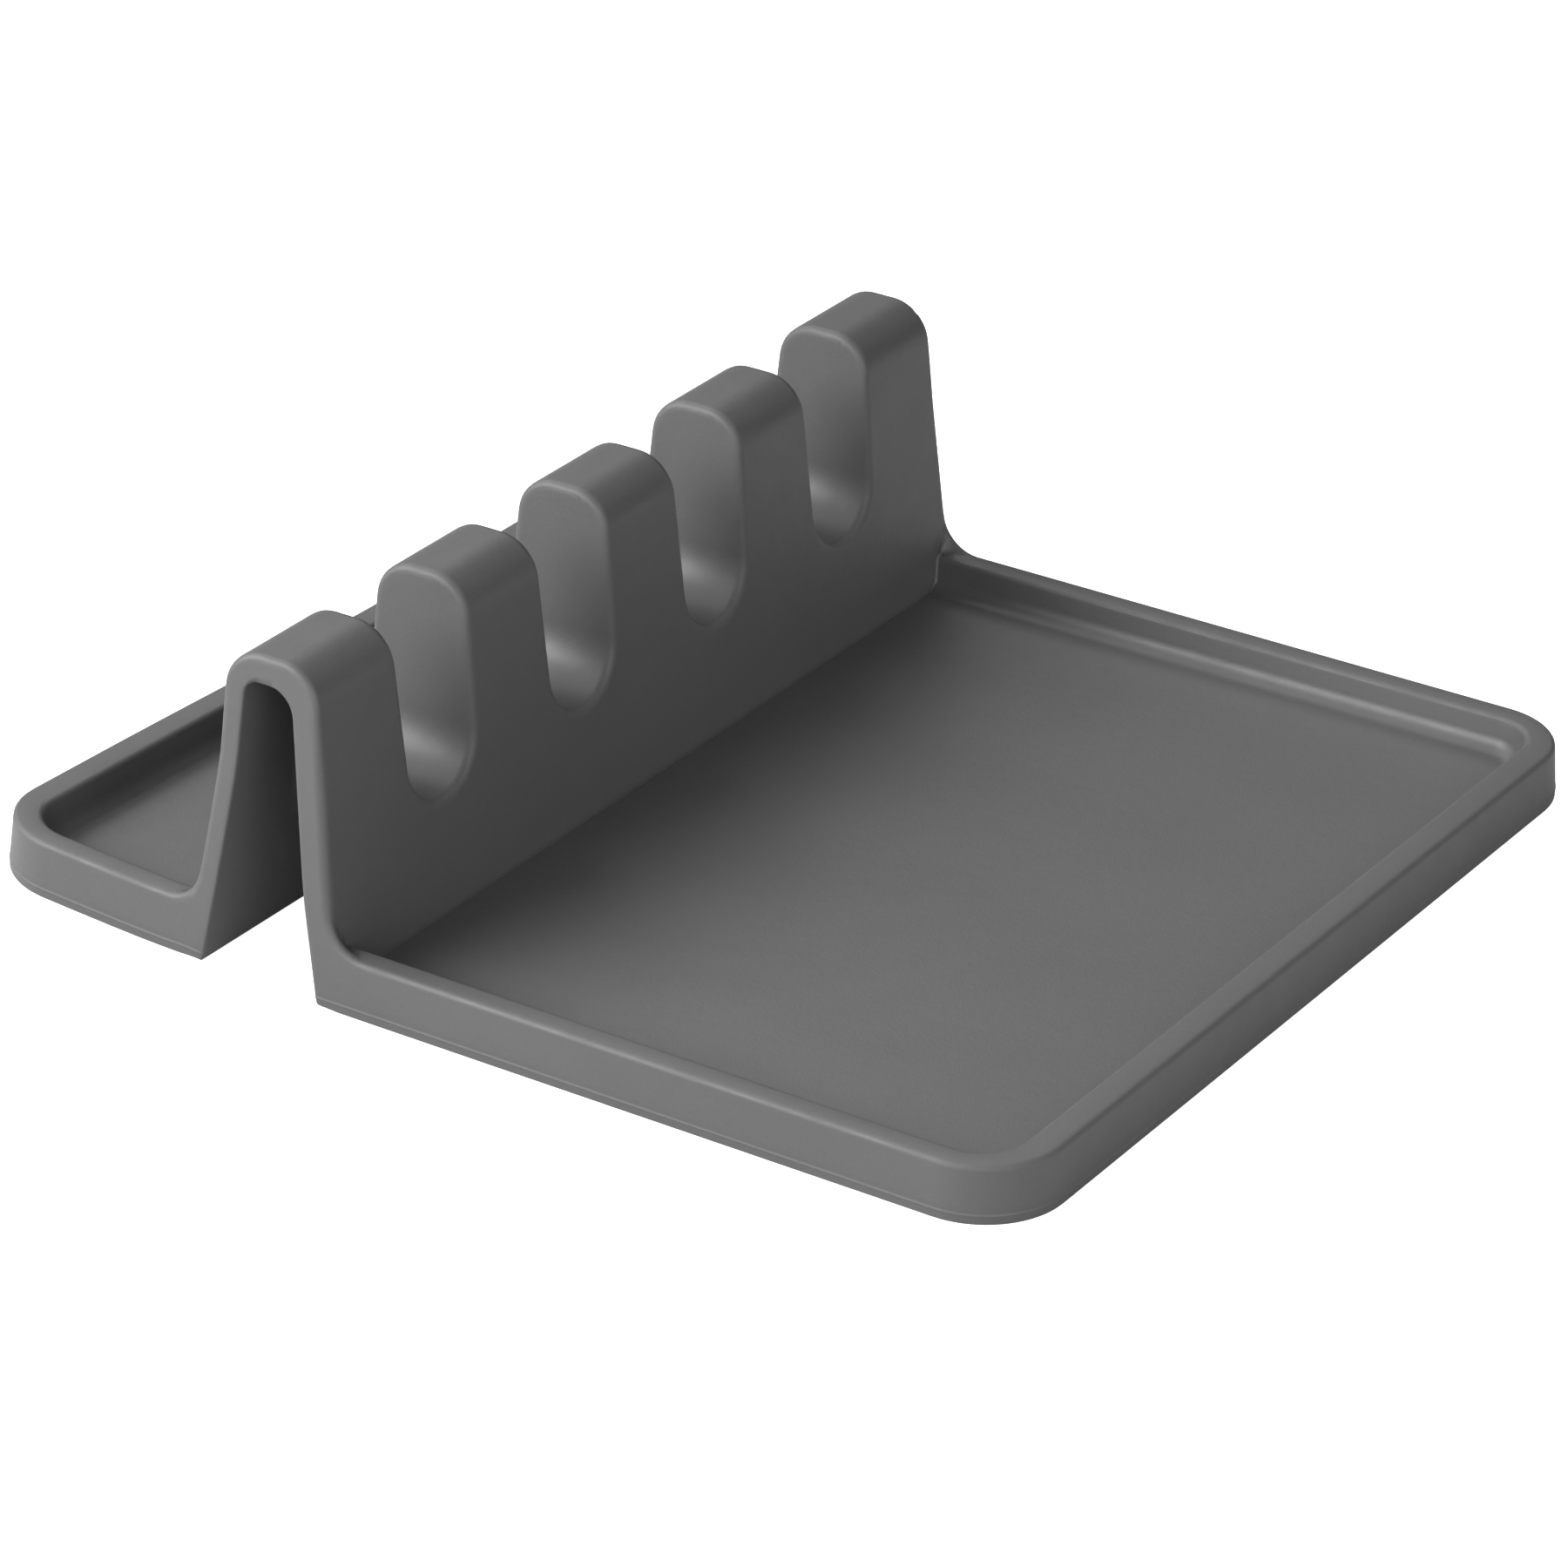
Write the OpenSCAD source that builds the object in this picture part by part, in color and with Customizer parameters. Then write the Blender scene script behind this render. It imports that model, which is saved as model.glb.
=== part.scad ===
// Spoon rest, moulded in one piece of soft silicone.
// A hollow ridge with slots for the handles stands between a wide drip tray and a narrow back tray.
// X runs along the ridge, -Y is the front of the drip tray, Z = 0 is the table.

/* [Trays] */
// Length of the rest along the ridge, at the parting line of its mould
body_len = 180; // [150:1:230]
// Depth of the drip tray, from its front edge to the ridge at rim height
drip_depth = 123.5; // [80:0.5:170]
// Depth of the back tray, from the ridge at rim height to its back edge
back_depth = 43.5; // [32:0.5:80]
// Height of the rims above the table
rim_h = 9.8; // [7.5:0.1:15]
// Width of the top of the front and back rims, with its two rounded edges
rim_w = 5.2; // [3.5:0.1:8]
// Width of the top of the rims at both ends, with its two rounded edges
end_rim_w = 4.3; // [3.5:0.1:8]
// Thickness of the tray floors
floor_t = 4; // [2.5:0.1:5]
// Radius of the tray corners, seen from above
corner_r = 14; // [11:0.5:24]
// Slope of the inner face of the rims, from upright
rim_slope = 12; // [0:1:25]
// Fillet between the floors and what rises from them
floor_r = 2; // [0.5:0.1:2.4]

/* [Ridge] */
// Height of the ridge above the table
ridge_h = 55.5; // [48:0.5:75]
// Width of the ridge over its two walls, at rim height
ridge_w = 27; // [25:0.5:40]
// Thickness of the front wall, measured along Y
front_wall_t = 4.9; // [3:0.1:5.5]
// Thickness of the back wall, measured along Y
back_wall_t = 3.9; // [3:0.1:5.5]
// Thickness of the crown
crown_t = 4.7; // [3:0.1:6]
// Lean of the front wall, from upright
front_lean = 5; // [2:0.5:7]
// Lean of the lower part of the back wall, from upright
back_lean = 10; // [6:0.5:12]
// Lean of the upper part of the back wall, from upright
upper_lean = 5; // [2:0.5:6]
// Height where the back wall changes its lean
knee_h = 36; // [34:0.5:40]
// Radius of the front shoulder of the crown
front_shoulder_r = 7; // [4:0.5:8]
// Radius of the back shoulder of the crown
back_shoulder_r = 7; // [3:0.5:7.5]
// Radius of the hollow where a front rim sweeps up into the ridge
front_valley_r = 6.4; // [3:0.1:9]
// Radius of the hollow where a back rim sweeps up into the ridge
back_valley_r = 5.5; // [2:0.1:7]
// Height up to which the tunnel side of the front wall flares outwards
flare_h = 18; // [10:0.5:24]
// Width that this flare adds to the tunnel at the table
flare_w = 1.4; // [0:0.1:1.4]

/* [Slots] */
// Distance between the middles of two slots
slot_pitch = 38.2; // [34:0.1:42]
// Width of a slot where its round bottom begins
slot_w = 16.8; // [12:0.2:20]
// Height of the lowest point of a slot above the table
slot_z = 23; // [18:0.5:25]
// Opening angle of each side of a slot
slot_taper = 2.4; // [0:0.1:4]
// Thickness of the slot sides and of the troughs that close the slots below
side_t = 4.2; // [2.5:0.1:5]

/* [Edges] */
// Draft of the outer walls above the parting line
draft = 3.7; // [1:0.1:5]
// Radius of the lower outer edge, which ends at the parting line
base_r = 1.6; // [0.8:0.1:2.5]
// Radius of the upper edges of the rims
edge_r = 1; // [0.4:0.1:1.5]
// Radius of the upper edges of the fingers, along the slots
finger_r = 0.8; // [0.5:0.1:2.5]
// Radius of the hollow's upper edge under the front shoulder
front_hollow_r = 4.6; // [0.5:0.1:5.5]
// Radius of the hollow's upper edge under the back shoulder
back_hollow_r = 2.5; // [0.5:0.1:3.5]
// Radius of the lower edges along the tunnel
foot_r = 2; // [0.5:0.1:2.5]

/* [Hidden] */
$fn = 96;

silicone = [0.36, 0.36, 0.35];
// Largest turn between two points of a rounded outline
arc_angle = 12;
// Reach of cutting shapes past the body
margin = 20;

slot_count = 4;
body_depth = drip_depth + ridge_w + back_depth;
half_len = body_len / 2;
front_edge_y = -body_depth / 2;
// Outer faces of the two walls at rim height
front_wall_y = front_edge_y + drip_depth;
back_wall_y = front_wall_y + ridge_w;
// Distance of the rim's two top corners from the parting line
rim_out = tan(draft) * (rim_h - base_r);
rim_in = rim_out + rim_w;
rim_foot = rim_in + tan(rim_slope) * (rim_h - floor_t);
end_rim_in = rim_out + end_rim_w;
slot_r = slot_w / 2;
// Height where the round bottoms of the slots begin and the fingers stand on the walls
slot_mid_z = slot_z + slot_r;

// Outer face of the front wall and of the back wall at height z
function front_y(z) = front_wall_y + tan(front_lean) * (z - rim_h);
knee_y = back_wall_y - tan(back_lean) * (knee_h - rim_h);
function back_y(z) = knee_y - tan(z < knee_h ? back_lean : upper_lean) * (z - knee_h);

// Middle of slot number i, counted from 0
function slot_x(i) = (i - (slot_count - 1) / 2) * slot_pitch;
// Half width of a slot at height z above its round bottom
function slot_half(z) = slot_r + tan(slot_taper) * (z - slot_mid_z);
// Distance of the drafted end face from the middle, at height z
function end_x(z) = half_len - tan(draft) * (z - base_r);

function unit(v) = v / norm(v);
function turned(v, angle) = [
  v.x * cos(angle) - v.y * sin(angle),
  v.x * sin(angle) + v.y * cos(angle),
];

// Point kept to a ten-thousandth of a millimetre, so that the straight and the turned stretches of
// one outline meet exactly
function kept(v) = [for (c = v) round(c * 10000) / 10000];

// One corner of an outline, rounded: an arc of radius r that touches both of its sides
function corner_arc(before, corner, after, r) =
  let (
    a = unit(before - corner),
    b = unit(after - corner),
    half = acos(a * b) / 2,
    reach = r / tan(half),
    centre = corner + unit(a + b) * r / sin(half),
    first = corner + a * reach - centre,
    side = sign(first.x * (b.y - a.y) - first.y * (b.x - a.x)),
    sweep = side * (180 - 2 * half),
    steps = ceil((180 - 2 * half) / arc_angle)
  )
  [for (i = [0:steps]) kept(centre + turned(first, sweep * i / steps))];

// An outline given as [x, y, radius] corners, with every radius above 0 made an arc
function rounded(corners) = [
  for (i = [0:len(corners) - 1])
    let (
      n = len(corners),
      p = corners[i],
      here = [p.x, p.y],
      before = [corners[(i + n - 1) % n].x, corners[(i + n - 1) % n].y],
      after = [corners[(i + 1) % n].x, corners[(i + 1) % n].y]
    )
    each p.z > 0 ? corner_arc(before, here, after, p.z) : [here]
];

// Carries a [y, z] outline along X
module along_x(x0, x1) {
  translate([x0, 0, 0])
    rotate([90, 0, 90])
      linear_extrude(x1 - x0)
        children();
}

// Carries an [x, z] outline along Y
module along_y(y0, y1) {
  translate([0, y1, 0])
    rotate([90, 0, 0])
      linear_extrude(y1 - y0)
        children();
}

// Section of the block that a tray is sunk into: d runs inwards from the parting line
block_section = rounded([
  [corner_r, 0, 0],
  [0, 0, base_r],
  [0, base_r, 0],
  [rim_out, rim_h, edge_r],
  [corner_r, rim_h, 0],
]);

// Section of the well in that block, open above, with the inner edge of the rim rounded: the last
// stretch of the rounding runs on past the top of the rim
well_mouth = corner_arc([rim_foot, floor_t], [rim_in, rim_h], [0, rim_h], edge_r);
mouth_steps = len(well_mouth) - 1;
mouth_end = 2 * well_mouth[mouth_steps] - well_mouth[mouth_steps - 1];
well_section = concat(
  corner_arc([corner_r, floor_t], [rim_foot, floor_t], [rim_in, rim_h], floor_r),
  [for (i = [0:mouth_steps - 1]) well_mouth[i]],
  [mouth_end, [mouth_end.x, rim_h + margin], [corner_r, rim_h + margin], [corner_r, floor_t]]
);

// Elevation of the end faces: rounded below the parting line, drafted above it
end_elevation = rounded([
  [-half_len, 0, base_r],
  [half_len, 0, base_r],
  [half_len, base_r, 0],
  [end_x(ridge_h), ridge_h, 0],
  [-end_x(ridge_h), ridge_h, 0],
  [-half_len, base_r, 0],
]);

// Tunnel side of the front wall and of the back wall at height z, above the flare
function front_inner_y(z) = front_y(z) + front_wall_t;
function back_inner_y(z) = back_y(z) - back_wall_t;

// Section of the front wall and of the back wall, with their lower tunnel edges rounded
front_foot_t = front_wall_t - flare_w;
front_wall_section = rounded([
  [front_y(0), 0, 0],
  [front_y(0) + front_foot_t, 0, min(foot_r, front_foot_t)],
  [front_inner_y(flare_h), flare_h, 0],
  [front_inner_y(ridge_h), ridge_h, 0],
  [front_y(ridge_h), ridge_h, 0],
]);
back_wall_section = rounded([
  [back_inner_y(0), 0, foot_r],
  [back_y(0), 0, 0],
  [back_y(knee_h), knee_h, 0],
  [back_inner_y(knee_h), knee_h, 0],
]);

// Share of two radii that fits side by side into a width
function fitting(width, r1, r2) = min(1, width / (r1 + r2));

// Section over the whole ridge, and of the hollow under its crown
crown_w = back_y(ridge_h) - front_y(ridge_h);
shoulder_share = fitting(crown_w, front_shoulder_r, back_shoulder_r);
ridge_section = rounded([
  [front_y(0), 0, 0],
  [back_y(0), 0, 0],
  [back_y(knee_h), knee_h, 0],
  [back_y(ridge_h), ridge_h, shoulder_share * back_shoulder_r],
  [front_y(ridge_h), ridge_h, shoulder_share * front_shoulder_r],
]);
crown_z = ridge_h - crown_t;
hollow_w = back_inner_y(crown_z) - front_inner_y(crown_z);
hollow_share = fitting(hollow_w, front_hollow_r, back_hollow_r);
hollow_section = rounded([
  [front_inner_y(0), 0, 0],
  [back_inner_y(0), 0, 0],
  [back_inner_y(knee_h), knee_h, 0],
  [back_inner_y(crown_z), crown_z, hollow_share * back_hollow_r],
  [front_inner_y(crown_z), crown_z, hollow_share * front_hollow_r],
]);

// Left and right side of finger number i at height z, counted from 0
function finger_left(i, z) = i == 0 ? -end_x(z) : slot_x(i - 1) + slot_half(z);
function finger_right(i, z) = i == slot_count ? end_x(z) : slot_x(i) - slot_half(z);

// Tray with its front edge at y = 0, open towards the wall that leans away from it at y = depth
module tray(depth, lean, valley_r) {
  // Face of the ridge wall that the tray meets, at height z
  function wall_y(z) = depth + tan(lean) * (z - rim_h);
  reach_y = depth + margin;

  intersection() {
    union() {
      difference() {
        tray_form(half_len, reach_y, block_section, 0, rim_h);
        tray_form(half_len + rim_w - end_rim_w, reach_y + margin, well_section, floor_t, rim_h + margin);
      }
      floor_fillet(wall_y(floor_t), wall_y(rim_h));
      for (side = [0, 1])
        mirror([side, 0, 0])
          rim_sweep(wall_y(rim_h), wall_y(ridge_h), valley_r);
    }
    along_x(-half_len - margin, half_len + margin)
      polygon([
        [-margin, -margin],
        [wall_y(-margin), -margin],
        [wall_y(ridge_h), ridge_h],
        [-margin, ridge_h],
      ]);
  }
}

// Block or well of a tray: a section carried round its front and both ends, with the corners
// turned about their middles, and filled inside from low_z to high_z
module tray_form(half, reach_y, section, low_z, high_z) {
  straight = half - corner_r;
  translate([-straight, corner_r, low_z])
    cube([2 * straight, reach_y - corner_r, high_z - low_z]);
  along_x(-straight, straight)
    polygon(section);
  for (side = [0, 1])
    mirror([side, 0, 0]) {
      translate([-half, 0, 0])
        along_y(corner_r, reach_y)
          polygon(section);
      translate([-straight, corner_r, 0])
        rotate([0, 0, 180])
          rotate_extrude(angle = 90)
            polygon([for (p = section) [corner_r - p.x, p.y]]);
    }
}

// Fillet between the floor and the ridge wall
module floor_fillet(foot_y, rim_y) {
  foot = [foot_y, floor_t];
  along_x(-half_len + end_rim_in, half_len - end_rim_in)
    polygon(concat([foot], corner_arc([0, floor_t], foot, [rim_y, rim_h], floor_r)));
}

// Hollow sweep with which the top of the left rim rises into the ridge wall
module rim_sweep(rim_y, top_y, valley_r) {
  corner = [rim_y, rim_h];
  sweep = corner_arc([0, rim_h], corner, [top_y, ridge_h], valley_r);
  low_z = rim_h - edge_r;
  intersection() {
    along_x(-half_len, -half_len + end_rim_in)
      polygon(concat([[rim_y, low_z], [sweep[0].x, low_z]], sweep));
    along_y(0, rim_y + margin)
      polygon(end_elevation);
  }
}

// Elevation of the two walls up to the fingers, with the round bottoms of the slots cut out
module wall_elevation() {
  difference() {
    intersection() {
      polygon(end_elevation);
      translate([-half_len, 0])
        square([body_len, slot_mid_z]);
    }
    for (i = [0:slot_count - 1])
      translate([slot_x(i), slot_mid_z])
        circle(slot_r);
  }
}

// Finger number i: a crowned cap on both walls, hollow from below and closed towards the slots
module finger(i) {
  // The hollow runs out through the end face of the first and the last finger
  left_t = i == 0 ? -margin : side_t;
  right_t = i == slot_count ? -margin : side_t;
  low_z = slot_mid_z - margin;

  difference() {
    intersection() {
      along_x(-half_len, half_len)
        polygon(ridge_section);
      along_y(front_edge_y, -front_edge_y)
        polygon(rounded([
          [finger_left(i, slot_mid_z), slot_mid_z, 0],
          [finger_right(i, slot_mid_z), slot_mid_z, 0],
          [finger_right(i, ridge_h), ridge_h, finger_r],
          [finger_left(i, ridge_h), ridge_h, finger_r],
        ]));
    }
    intersection() {
      along_x(-half_len - margin, half_len + margin)
        polygon(hollow_section);
      along_y(front_edge_y, -front_edge_y)
        polygon([
          [finger_left(i, low_z) + left_t, low_z],
          [finger_right(i, low_z) - right_t, low_z],
          [finger_right(i, ridge_h) - right_t, ridge_h],
          [finger_left(i, ridge_h) + left_t, ridge_h],
        ]);
    }
  }
}

// Trough number i: the round bottom that closes a slot between the two walls
module slot_trough(i) {
  outer_r = slot_r + side_t;
  intersection() {
    along_x(-half_len, half_len)
      polygon(hollow_section);
    translate([slot_x(i), 0, slot_mid_z])
      along_y(front_edge_y, -front_edge_y)
        difference() {
          intersection() {
            circle(outer_r);
            translate([-outer_r, -outer_r])
              square([2 * outer_r, outer_r]);
          }
          circle(slot_r);
        }
  }
}

module drip_tray() {
  color(silicone)
    translate([0, front_edge_y, 0])
      tray(drip_depth, front_lean, front_valley_r);
}

module back_tray() {
  color(silicone)
    translate([0, -front_edge_y, 0])
      mirror([0, 1, 0])
        tray(back_depth, back_lean, back_valley_r);
}

module ridge_front_wall() {
  color(silicone)
    intersection() {
      along_x(-half_len, half_len)
        polygon(front_wall_section);
      along_y(front_edge_y, -front_edge_y)
        wall_elevation();
    }
}

module ridge_back_wall() {
  color(silicone)
    intersection() {
      along_x(-half_len, half_len)
        polygon(back_wall_section);
      along_y(front_edge_y, -front_edge_y)
        wall_elevation();
    }
}

module finger_1() { color(silicone) finger(0); }
module finger_2() { color(silicone) finger(1); }
module finger_3() { color(silicone) finger(2); }
module finger_4() { color(silicone) finger(3); }
module finger_5() { color(silicone) finger(4); }

module slot_trough_1() { color(silicone) slot_trough(0); }
module slot_trough_2() { color(silicone) slot_trough(1); }
module slot_trough_3() { color(silicone) slot_trough(2); }
module slot_trough_4() { color(silicone) slot_trough(3); }

drip_tray();
back_tray();
ridge_front_wall();
ridge_back_wall();
finger_1();
finger_2();
finger_3();
finger_4();
finger_5();
slot_trough_1();
slot_trough_2();
slot_trough_3();
slot_trough_4();
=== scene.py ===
import math

import bpy
import numpy as np
from bpy.props import FloatProperty, FloatVectorProperty, PointerProperty
from mathutils import Matrix, Vector


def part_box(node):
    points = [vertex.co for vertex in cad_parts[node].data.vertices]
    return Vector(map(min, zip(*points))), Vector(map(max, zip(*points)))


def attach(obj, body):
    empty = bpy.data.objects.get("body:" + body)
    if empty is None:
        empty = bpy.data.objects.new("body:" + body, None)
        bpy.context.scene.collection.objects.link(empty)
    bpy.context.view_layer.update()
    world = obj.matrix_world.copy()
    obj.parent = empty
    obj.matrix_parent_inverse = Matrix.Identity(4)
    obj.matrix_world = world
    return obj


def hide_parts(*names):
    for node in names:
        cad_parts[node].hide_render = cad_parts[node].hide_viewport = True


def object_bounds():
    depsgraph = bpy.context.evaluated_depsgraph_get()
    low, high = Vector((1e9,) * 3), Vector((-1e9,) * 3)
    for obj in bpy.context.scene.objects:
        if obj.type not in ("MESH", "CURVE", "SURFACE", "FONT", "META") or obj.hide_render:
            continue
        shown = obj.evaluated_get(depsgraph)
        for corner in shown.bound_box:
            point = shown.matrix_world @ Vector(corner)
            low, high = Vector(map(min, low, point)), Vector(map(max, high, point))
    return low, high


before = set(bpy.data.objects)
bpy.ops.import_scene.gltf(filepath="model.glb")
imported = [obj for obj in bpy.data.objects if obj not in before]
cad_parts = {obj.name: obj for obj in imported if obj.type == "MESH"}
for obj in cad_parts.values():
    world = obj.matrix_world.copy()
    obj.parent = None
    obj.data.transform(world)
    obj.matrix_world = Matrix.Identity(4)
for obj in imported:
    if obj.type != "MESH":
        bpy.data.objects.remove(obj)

bl_info = {
    "name": "Silicone spoon rest",
    "version": (1, 0, 0),
    "blender": (4, 5, 0),
    "location": "3D View > Sidebar > Spoon rest",
    "description": "Builds a moulded silicone spoon rest, its finish and a plain studio",
    "category": "Object",
}

CAD_LOW, CAD_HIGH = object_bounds()

MM = 0.001
TINY = 1e-6            # tolerance for two places that are the same, in metres
NOT_ZERO = 1e-12       # least divisor
DECIMALS = 7           # of places in metres; lines of the net that agree so far are one line
SLOTS = 4
PROBE = 0.01 * MM      # step of the numerical slopes
FOLD_LIMIT = 0.65      # least cosine between a quad's corner and the surface there

# Round softboxes near the rest and soft lights far from it: name, azimuth from +X, elevation and
# width as the rest sees them in degrees, strength in W/m2
SOFTBOXES = (
    ("key_left", 150, 30, 30, 2.88),
    ("key_middle", 135, 30, 30, 1.05),
    ("key_right", 120, 30, 30, 0.92),
    ("low_behind", 120, 16, 45, 0.87),
    ("low_behind_left", 140, 16, 45, 0.79),
    ("low_left", 190, 16, 45, 0.30),
    ("low_front_left", 220, 16, 45, 1.00),
    ("low_front", 250, 16, 45, 1.04),
    ("front", 240, 32, 45, 0.52),
    ("behind_right", 60, 32, 45, 0.28),
)
FAR_LIGHTS = (
    ("high_right", 45, 50, 45, 0.87),
    ("high_behind", 90, 50, 45, 1.12),
    ("high_behind_left", 135, 50, 45, 0.40),
    ("high_front_right", 315, 50, 45, 0.49),
)
# Shine of the floor and of the backdrop, as the rest sees them and as the camera does
FLOOR_SHINE = (0.10, 1.0)
BACKDROP_SHINE = (0.0, 1.0)
FLOOR_GREY = (0.5, 0.5, 0.5, 1)
WHITE = (1, 1, 1, 1)
SENSOR_WIDTH = 36      # mm
CLIP_END = 50          # m

# Sizes of the patterns in the silicone
PATCH_SIZE = 32 * MM
SMEAR_SIZE = 7 * MM
RIPPLE_SIZE = 2.5 * MM
GRAIN_SIZE = 0.5 * MM
RIPPLE_SHARE = 1.5     # height of the ripples over that of the grain
DUST_CELL = 7 * MM
DUST_RADIUS = 0.22 * MM
DUST_CORE = 0.4        # share of a speck's radius that is full dust
LOOKS_UP = (0.6, 0.9)  # upward share of the normal from which dust lies, and where it is full
WEAR_AND_HIGHLIGHT_RANGE = (0.4, 1.0)            # how rubbed the edges are and how strong their painted highlight is, from smear to smear
NOISE_RANGE = (0.25, 0.75)         # stretch of a noise that is used in full
DUST_COLOUR = (0.5, 0.5, 0.49, 1)
SILICONE_IOR = 1.41
# Sockets of a colour Mix node, whose names aren't unique
MIX_A, MIX_B, MIX_RESULT = 6, 7, 2


def length(name, description, default_mm, precision=4):
    """A length property in metres, given in millimetres."""
    return FloatProperty(
        name=name, description=description, default=default_mm * MM, min=0, unit="LENGTH",
        precision=precision,
    )


def angle(name, description, default_deg):
    """An angle property, given in degrees."""
    return FloatProperty(
        name=name, description=description, default=math.radians(default_deg), subtype="ANGLE"
    )


def fraction(name, description, default):
    """A plain number property between 0 and 1."""
    return FloatProperty(name=name, description=description, default=default, min=0, max=1)


class TraySizes(bpy.types.PropertyGroup):
    """Sizes of the two trays and their rims."""

    corner_r: length("Corner radius", "Radius of the tray corners, seen from above", 14)
    rim_h: length("Rim height", "Height of the rims above the table", 9.75)
    rim_w: length("Rim width", "Width of the top of the front and back rims", 5.2)
    end_rim_w: length("End rim width", "Width of the top of the rims at both ends", 4.3)
    rim_crown: length("Rim crown", "Rise of the middle of the rims over their edges", 0.12)
    floor_t: length("Floor thickness", "Thickness of the tray floors", 4)
    rim_slope: angle("Rim slope", "Slope of the inner face of the rims, from upright", 12)
    floor_r: length("Rim foot fillet", "Fillet between the floors and the rims", 3)
    wall_r: length("Ridge foot fillet", "Fillet between the floors and the ridge", 0.2)
    edge_r: length("Rim edge radius", "Radius of the upper edges of the rims", 0.8)
    base_r: length("Base radius", "Radius of the lower outer edge", 0.4)
    seam_z: length("Parting line height", "Height of the parting line above the table", 1.6)
    draft: angle("Draft", "Draft of the outer walls above the parting line", 3.7)
    bead_h: length("Bead height", "Height of the mould's fine bead at the parting line", 0.07)
    bead_w: length("Bead width", "Half width of that bead", 0.16)


class RidgeSizes(bpy.types.PropertyGroup):
    """Sizes of the hollow ridge between the trays."""

    front_lean: angle("Front lean", "Lean of the front wall, from upright", 5)
    back_lean: angle("Back lean", "Lean of the lower part of the back wall", 10)
    upper_lean: angle("Upper lean", "Lean of the upper part of the back wall", 5)
    knee_h: length("Knee height", "Height where the back wall changes its lean", 36)
    front_wall_t: length("Front wall thickness", "Thickness of the front wall along Y", 4.9)
    back_wall_t: length("Back wall thickness", "Thickness of the back wall along Y", 3.9)
    crown_t: length("Crown thickness", "Thickness of the crown", 4.7)
    shoulder_r: length("Shoulder radius", "Radius of both shoulders of the crown", 7)
    front_valley_r: length("Front valley radius", "Hollow sweep of a front rim into the ridge", 6.4)
    back_valley_r: length("Back valley radius", "Hollow sweep of a back rim into the ridge", 5.5)
    front_hollow_r: length("Front hollow radius", "Upper edge of the tunnel at the front", 4.6)
    back_hollow_r: length("Back hollow radius", "Upper edge of the tunnel at the back", 2.5)
    flare_h: length("Flare height", "Height up to which the tunnel flares at the front wall", 18)
    flare_w: length("Flare width", "Width that the flare adds at the table", 1.4)
    end_r: length("End edge radius", "Radius of the edges between the ridge and its ends", 1.6)
    mouth_r: length("Mouth edge radius", "Radius of the edges of the tunnel's mouths", 0.4)
    foot_r: length("Foot radius", "Radius of the lower edges along the tunnel", 0.8)


class Lift(bpy.types.PropertyGroup):
    """How the soft back tray stands off the table towards its -X end."""

    foot: length("Lift of the ridge", "Lift of the ridge's back foot at that end", 1.0)
    slope: fraction("Slope", "Slope of the back tray at that end, as height over length", 0.072)
    bend_y: length("Bend", "Place along Y where the back tray bends up", 61)
    bend_w: length("Bend width", "Width over which it bends", 8)
    end_w: length("Bend along the ridge", "Width over which the lift begins along X", 20)
    pull: length("Pull", "How far the bend draws the rest of the back rim forwards", 1.5)


class SlotSizes(bpy.types.PropertyGroup):
    """Sizes of the slots that the handles lie in."""

    pitch: length("Slot pitch", "Distance between the middles of two slots", 38.2)
    slot_r: length("Slot radius", "Radius of the round bottom of a slot", 8.4)
    slot_z: length("Slot height", "Height of the lowest point of a slot", 23)
    taper: angle("Slot taper", "Opening angle of each side of a slot", 2.4)
    side_t: length("Slot side thickness", "Thickness of the sides and of the troughs", 4.2)
    finger_r: length("Finger edge radius", "Radius of the edges along the slots", 1.1)
    inner_r: length("Inner corner radius", "Fillet where a trough meets a wall inside", 1.4)


class Finish(bpy.types.PropertyGroup):
    """Colour and surface of the silicone."""

    colour: FloatVectorProperty(
        name="Colour", description="Colour of the silicone", subtype="COLOR",
        default=(0.061, 0.061, 0.061), min=0, max=1,
    )
    roughness: fraction("Roughness", "Roughness of the silicone", 0.46)
    smear: fraction("Smears", "Share by which the roughness varies in smears", 0.04)
    worn_rough: fraction("Worn roughness", "How much rougher worn edges are", 0.20)
    dust_rough: fraction("Dust roughness", "How much rougher the dust is", 0.3)
    mottle: fraction("Mottle", "Share by which the colour varies in soft patches", 0.05)
    speckle: fraction("Speckle", "Share by which the colour varies in fine grains", 0.04)
    # Edges are lighter partly from rubbing and partly as a painted highlight
    wear_and_highlight: fraction("Edge wear", "Share by which worn edges are lighter", 0.04)
    # The parting line is lighter partly as a painted highlight on its bead and partly as its own paler
    # tone
    seam: fraction("Parting line", "Share by which the parting line is lighter", 0.08)
    # Painted shade: the tight hollow fillets are darker, as where shade falls
    crease_shade: fraction("Painted shade", "Share by which tight hollow fillets are darker", 0.35)
    dust: fraction("Dust", "Strength of the dust specks on top", 0.10)
    grain_h: length("Grain", "Height of the fine grain", 0.006, precision=6)


class Studio(bpy.types.PropertyGroup):
    """Floor, camera and distance of the lights."""

    floor_half: length("Floor", "Half the side of the square floor", 6000)
    azimuth: angle("Azimuth", "Turn of the camera round the object; 0 looks along +Y", -56.9506)
    elevation: angle("Elevation", "Height of the camera over the horizon", 27.0895)
    roll: angle("Roll", "Tilt of the camera about its own axis", 0.67)
    distance: length("Distance", "From the camera to the point that it looks at", 1060)
    aim: FloatVectorProperty(
        name="Aim", description="Point that the camera looks at", subtype="TRANSLATION", unit="LENGTH",
        default=(-8.853 * MM, -3.631 * MM, 13.839 * MM),
    )
    focal: FloatProperty(
        name="Focal length", description="In millimetres on a 36 mm sensor", default=152.307, min=1
    )
    light_distance: length("Light distance", "From the lights to the object", 1300)


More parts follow.
